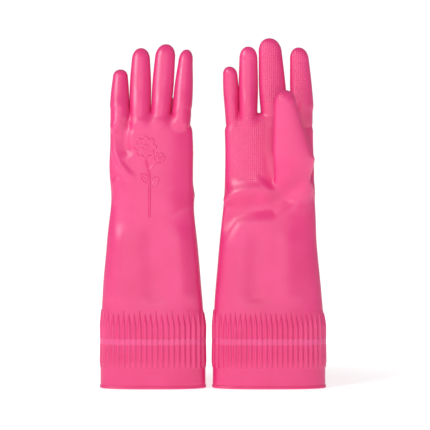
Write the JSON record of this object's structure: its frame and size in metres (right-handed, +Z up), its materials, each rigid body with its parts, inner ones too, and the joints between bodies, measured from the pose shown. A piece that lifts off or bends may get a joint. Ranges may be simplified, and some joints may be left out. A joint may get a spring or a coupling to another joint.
{
  "type": "rubber gloves",
  "caption": "Pair of long household rubber gloves with ribbed cuffs, standing upright; fingers, thumbs and wrists bend.",
  "frame": {"origin": "on the floor below the middle of the pair's bounding box", "axes": "+Z up along the fingers, +X from the left-hand glove to the right-hand glove, -Y to the viewer: the right-hand glove turns its palm to -Y and the left-hand glove turns its back to -Y"},
  "size_m": [0.2508, 0.102, 0.3856],
  "materials": {
    "glove_rubber": "satin",
    "band_rubber": "satin"
  },
  "bodies": {
    "left_sleeve": {"left_sleeve": "glove_rubber", "left_upper_ribs": "glove_rubber", "left_band": "band_rubber", "left_lower_ribs": "glove_rubber", "left_hem": "glove_rubber", "left_bead": "glove_rubber"},
    "right_sleeve": {"right_sleeve": "glove_rubber", "right_upper_ribs": "glove_rubber", "right_band": "band_rubber", "right_lower_ribs": "glove_rubber", "right_hem": "glove_rubber", "right_bead": "glove_rubber"},
    "left_wrist": {"left_wrist": "glove_rubber"},
    "left_hand": {"left_palm": "glove_rubber", "left_thumb_root": "glove_rubber"},
    "left_little_base": {"left_little_base": "glove_rubber"},
    "left_little_middle": {"left_little_middle": "glove_rubber"},
    "left_little_tip": {"left_little_tip": "glove_rubber"},
    "left_ring_base": {"left_ring_base": "glove_rubber"},
    "left_ring_middle": {"left_ring_middle": "glove_rubber"},
    "left_ring_tip": {"left_ring_tip": "glove_rubber"},
    "left_middle_base": {"left_middle_base": "glove_rubber"},
    "left_middle_middle": {"left_middle_middle": "glove_rubber"},
    "left_middle_tip": {"left_middle_tip": "glove_rubber"},
    "left_index_base": {"left_index_base": "glove_rubber"},
    "left_index_middle": {"left_index_middle": "glove_rubber"},
    "left_index_tip": {"left_index_tip": "glove_rubber"},
    "left_thumb_base": {"left_thumb_base": "glove_rubber"},
    "left_thumb_tip": {"left_thumb_tip": "glove_rubber"},
    "right_wrist": {"right_wrist": "glove_rubber"},
    "right_hand": {"right_palm": "glove_rubber", "right_thumb_root": "glove_rubber"},
    "right_little_base": {"right_little_base": "glove_rubber"},
    "right_little_middle": {"right_little_middle": "glove_rubber"},
    "right_little_tip": {"right_little_tip": "glove_rubber"},
    "right_ring_base": {"right_ring_base": "glove_rubber"},
    "right_ring_middle": {"right_ring_middle": "glove_rubber"},
    "right_ring_tip": {"right_ring_tip": "glove_rubber"},
    "right_middle_base": {"right_middle_base": "glove_rubber"},
    "right_middle_middle": {"right_middle_middle": "glove_rubber"},
    "right_middle_tip": {"right_middle_tip": "glove_rubber"},
    "right_index_base": {"right_index_base": "glove_rubber"},
    "right_index_middle": {"right_index_middle": "glove_rubber"},
    "right_index_tip": {"right_index_tip": "glove_rubber"},
    "right_thumb_base": {"right_thumb_base": "glove_rubber"},
    "right_thumb_tip": {"right_thumb_tip": "glove_rubber"}
  },
  "joints": [
    {"name": "right_glove_apart", "type": "slide", "parent": "left_sleeve", "child": "right_sleeve", "axis": [1, 0, 0], "range_m": [0, 0.2]},
    {"name": "left_wrist_fold", "type": "hinge", "parent": "left_sleeve", "child": "left_wrist", "pos_m": [-0.0664, 0.01775, 0.18], "axis": [-1, 0, 0], "range_deg": [0, 70], "stiffness_Nm_per_rad": 0.3},
    {"name": "left_wrist_back", "type": "hinge", "parent": "left_wrist", "child": "left_hand", "pos_m": [-0.0664, -0.01674, 0.2], "axis": [-1, 0, 0], "range_deg": [-60, 0], "stiffness_Nm_per_rad": 0.3},
    {"name": "left_little_knuckle", "type": "hinge", "parent": "left_hand", "child": "left_little_base", "pos_m": [-0.10348, 0.0095, 0.31], "axis": [-1, 0, 0], "range_deg": [0, 85], "stiffness_Nm_per_rad": 0.03},
    {"name": "left_little_bend", "type": "hinge", "parent": "left_little_base", "child": "left_little_middle", "pos_m": [-0.10327, 0.01021, 0.32565], "axis": [-1, 0, 0], "range_deg": [0, 90], "stiffness_Nm_per_rad": 0.02},
    {"name": "left_little_tip_bend", "type": "hinge", "parent": "left_little_middle", "child": "left_little_tip", "pos_m": [-0.10308, 0.01083, 0.33919], "axis": [-1, 0, 0], "range_deg": [0, 54]},
    {"name": "left_ring_knuckle", "type": "hinge", "parent": "left_hand", "child": "left_ring_base", "pos_m": [-0.08026, 0.0095, 0.31], "axis": [-1, 0, 0], "range_deg": [0, 85], "stiffness_Nm_per_rad": 0.03},
    {"name": "left_ring_bend", "type": "hinge", "parent": "left_ring_base", "child": "left_ring_middle", "pos_m": [-0.08, 0.01021, 0.33449], "axis": [-1, 0, 0], "range_deg": [0, 90], "stiffness_Nm_per_rad": 0.02},
    {"name": "left_ring_tip_bend", "type": "hinge", "parent": "left_ring_middle", "child": "left_ring_tip", "pos_m": [-0.07978, 0.01083, 0.35568], "axis": [-1, 0, 0], "range_deg": [0, 54]},
    {"name": "left_middle_knuckle", "type": "hinge", "parent": "left_hand", "child": "left_middle_base", "pos_m": [-0.05587, 0.0095, 0.31], "axis": [-1, 0, 0], "range_deg": [0, 50], "stiffness_Nm_per_rad": 0.03},
    {"name": "left_middle_bend", "type": "hinge", "parent": "left_middle_base", "child": "left_middle_middle", "pos_m": [-0.05403, 0.01021, 0.33612], "axis": [-1, 0, 0], "range_deg": [0, 75], "stiffness_Nm_per_rad": 0.02},
    {"name": "left_middle_tip_bend", "type": "hinge", "parent": "left_middle_middle", "child": "left_middle_tip", "pos_m": [-0.05245, 0.01083, 0.35871], "axis": [-1, 0, 0], "range_deg": [0, 45]},
    {"name": "left_index_knuckle", "type": "hinge", "parent": "left_hand", "child": "left_index_base", "pos_m": [-0.03373, 0.0095, 0.31], "axis": [-1, 0, 0], "range_deg": [0, 50], "stiffness_Nm_per_rad": 0.03},
    {"name": "left_index_bend", "type": "hinge", "parent": "left_index_base", "child": "left_index_middle", "pos_m": [-0.03164, 0.01021, 0.33387], "axis": [-1, 0, 0], "range_deg": [0, 75], "stiffness_Nm_per_rad": 0.02},
    {"name": "left_index_tip_bend", "type": "hinge", "parent": "left_index_middle", "child": "left_index_tip", "pos_m": [-0.02983, 0.01083, 0.35451], "axis": [-1, 0, 0], "range_deg": [0, 45]},
    {"name": "left_thumb_swing", "type": "hinge", "parent": "left_hand", "child": "left_thumb_base", "pos_m": [-0.0439, 0.0401, 0.258], "axis": [-1, 0, 0], "range_deg": [0, 55], "stiffness_Nm_per_rad": 0.03},
    {"name": "left_thumb_bend", "type": "hinge", "parent": "left_thumb_base", "child": "left_thumb_tip", "pos_m": [-0.06146, 0.03735, 0.294], "axis": [0, -1, 0], "range_deg": [0, 70], "stiffness_Nm_per_rad": 0.02},
    {"name": "right_wrist_fold", "type": "hinge", "parent": "right_sleeve", "child": "right_wrist", "pos_m": [0.062, -0.01775, 0.18], "axis": [1, 0, 0], "range_deg": [0, 70], "stiffness_Nm_per_rad": 0.3},
    {"name": "right_wrist_back", "type": "hinge", "parent": "right_wrist", "child": "right_hand", "pos_m": [0.062, 0.01674, 0.2], "axis": [1, 0, 0], "range_deg": [-60, 0], "stiffness_Nm_per_rad": 0.3},
    {"name": "right_little_knuckle", "type": "hinge", "parent": "right_hand", "child": "right_little_base", "pos_m": [0.02098, -0.0095, 0.31], "axis": [1, 0, 0], "range_deg": [0, 85], "stiffness_Nm_per_rad": 0.03},
    {"name": "right_little_bend", "type": "hinge", "parent": "right_little_base", "child": "right_little_middle", "pos_m": [0.01967, -0.01021, 0.3265], "axis": [1, 0, 0], "range_deg": [0, 90], "stiffness_Nm_per_rad": 0.02},
    {"name": "right_little_tip_bend", "type": "hinge", "parent": "right_little_middle", "child": "right_little_tip", "pos_m": [0.01854, -0.01083, 0.34077], "axis": [1, 0, 0], "range_deg": [0, 54]},
    {"name": "right_ring_knuckle", "type": "hinge", "parent": "right_hand", "child": "right_ring_base", "pos_m": [0.03982, -0.0095, 0.31], "axis": [1, 0, 0], "range_deg": [0, 85], "stiffness_Nm_per_rad": 0.03},
    {"name": "right_ring_bend", "type": "hinge", "parent": "right_ring_base", "child": "right_ring_middle", "pos_m": [0.03958, -0.01021, 0.33468], "axis": [1, 0, 0], "range_deg": [0, 90], "stiffness_Nm_per_rad": 0.02},
    {"name": "right_ring_tip_bend", "type": "hinge", "parent": "right_ring_middle", "child": "right_ring_tip", "pos_m": [0.03938, -0.01083, 0.35602], "axis": [1, 0, 0], "range_deg": [0, 54]},
    {"name": "right_middle_knuckle", "type": "hinge", "parent": "right_hand", "child": "right_middle_base", "pos_m": [0.06644, -0.0095, 0.31], "axis": [1, 0, 0], "range_deg": [0, 50], "stiffness_Nm_per_rad": 0.03},
    {"name": "right_middle_bend", "type": "hinge", "parent": "right_middle_base", "child": "right_middle_middle", "pos_m": [0.06461, -0.01021, 0.33797], "axis": [1, 0, 0], "range_deg": [0, 75], "stiffness_Nm_per_rad": 0.02},
    {"name": "right_middle_tip_bend", "type": "hinge", "parent": "right_middle_middle", "child": "right_middle_tip", "pos_m": [0.06303, -0.01083, 0.36216], "axis": [1, 0, 0], "range_deg": [0, 45]},
    {"name": "right_index_knuckle", "type": "hinge", "parent": "right_hand", "child": "right_index_base", "pos_m": [0.09828, -0.0095, 0.31], "axis": [1, 0, 0], "range_deg": [0, 50], "stiffness_Nm_per_rad": 0.03},
    {"name": "right_index_bend", "type": "hinge", "parent": "right_index_base", "child": "right_index_middle", "pos_m": [0.0966, -0.01021, 0.33427], "axis": [1, 0, 0], "range_deg": [0, 75], "stiffness_Nm_per_rad": 0.02},
    {"name": "right_index_tip_bend", "type": "hinge", "parent": "right_index_middle", "child": "right_index_tip", "pos_m": [0.09514, -0.01083, 0.35526], "axis": [1, 0, 0], "range_deg": [0, 45]},
    {"name": "right_thumb_swing", "type": "hinge", "parent": "right_hand", "child": "right_thumb_base", "pos_m": [0.0845, -0.0401, 0.258], "axis": [1, 0, 0], "range_deg": [0, 55], "stiffness_Nm_per_rad": 0.03},
    {"name": "right_thumb_bend", "type": "hinge", "parent": "right_thumb_base", "child": "right_thumb_tip", "pos_m": [0.06694, -0.03735, 0.294], "axis": [0, -1, 0], "range_deg": [0, 70], "stiffness_Nm_per_rad": 0.02}
  ],
  "couplings": [
    {"joint": "left_little_tip_bend", "follows": "left_little_bend", "ratio": 0.6},
    {"joint": "left_ring_tip_bend", "follows": "left_ring_bend", "ratio": 0.6},
    {"joint": "left_middle_tip_bend", "follows": "left_middle_bend", "ratio": 0.6},
    {"joint": "left_index_tip_bend", "follows": "left_index_bend", "ratio": 0.6},
    {"joint": "right_little_tip_bend", "follows": "right_little_bend", "ratio": 0.6},
    {"joint": "right_ring_tip_bend", "follows": "right_ring_bend", "ratio": 0.6},
    {"joint": "right_middle_tip_bend", "follows": "right_middle_bend", "ratio": 0.6},
    {"joint": "right_index_tip_bend", "follows": "right_index_bend", "ratio": 0.6}
  ]
}
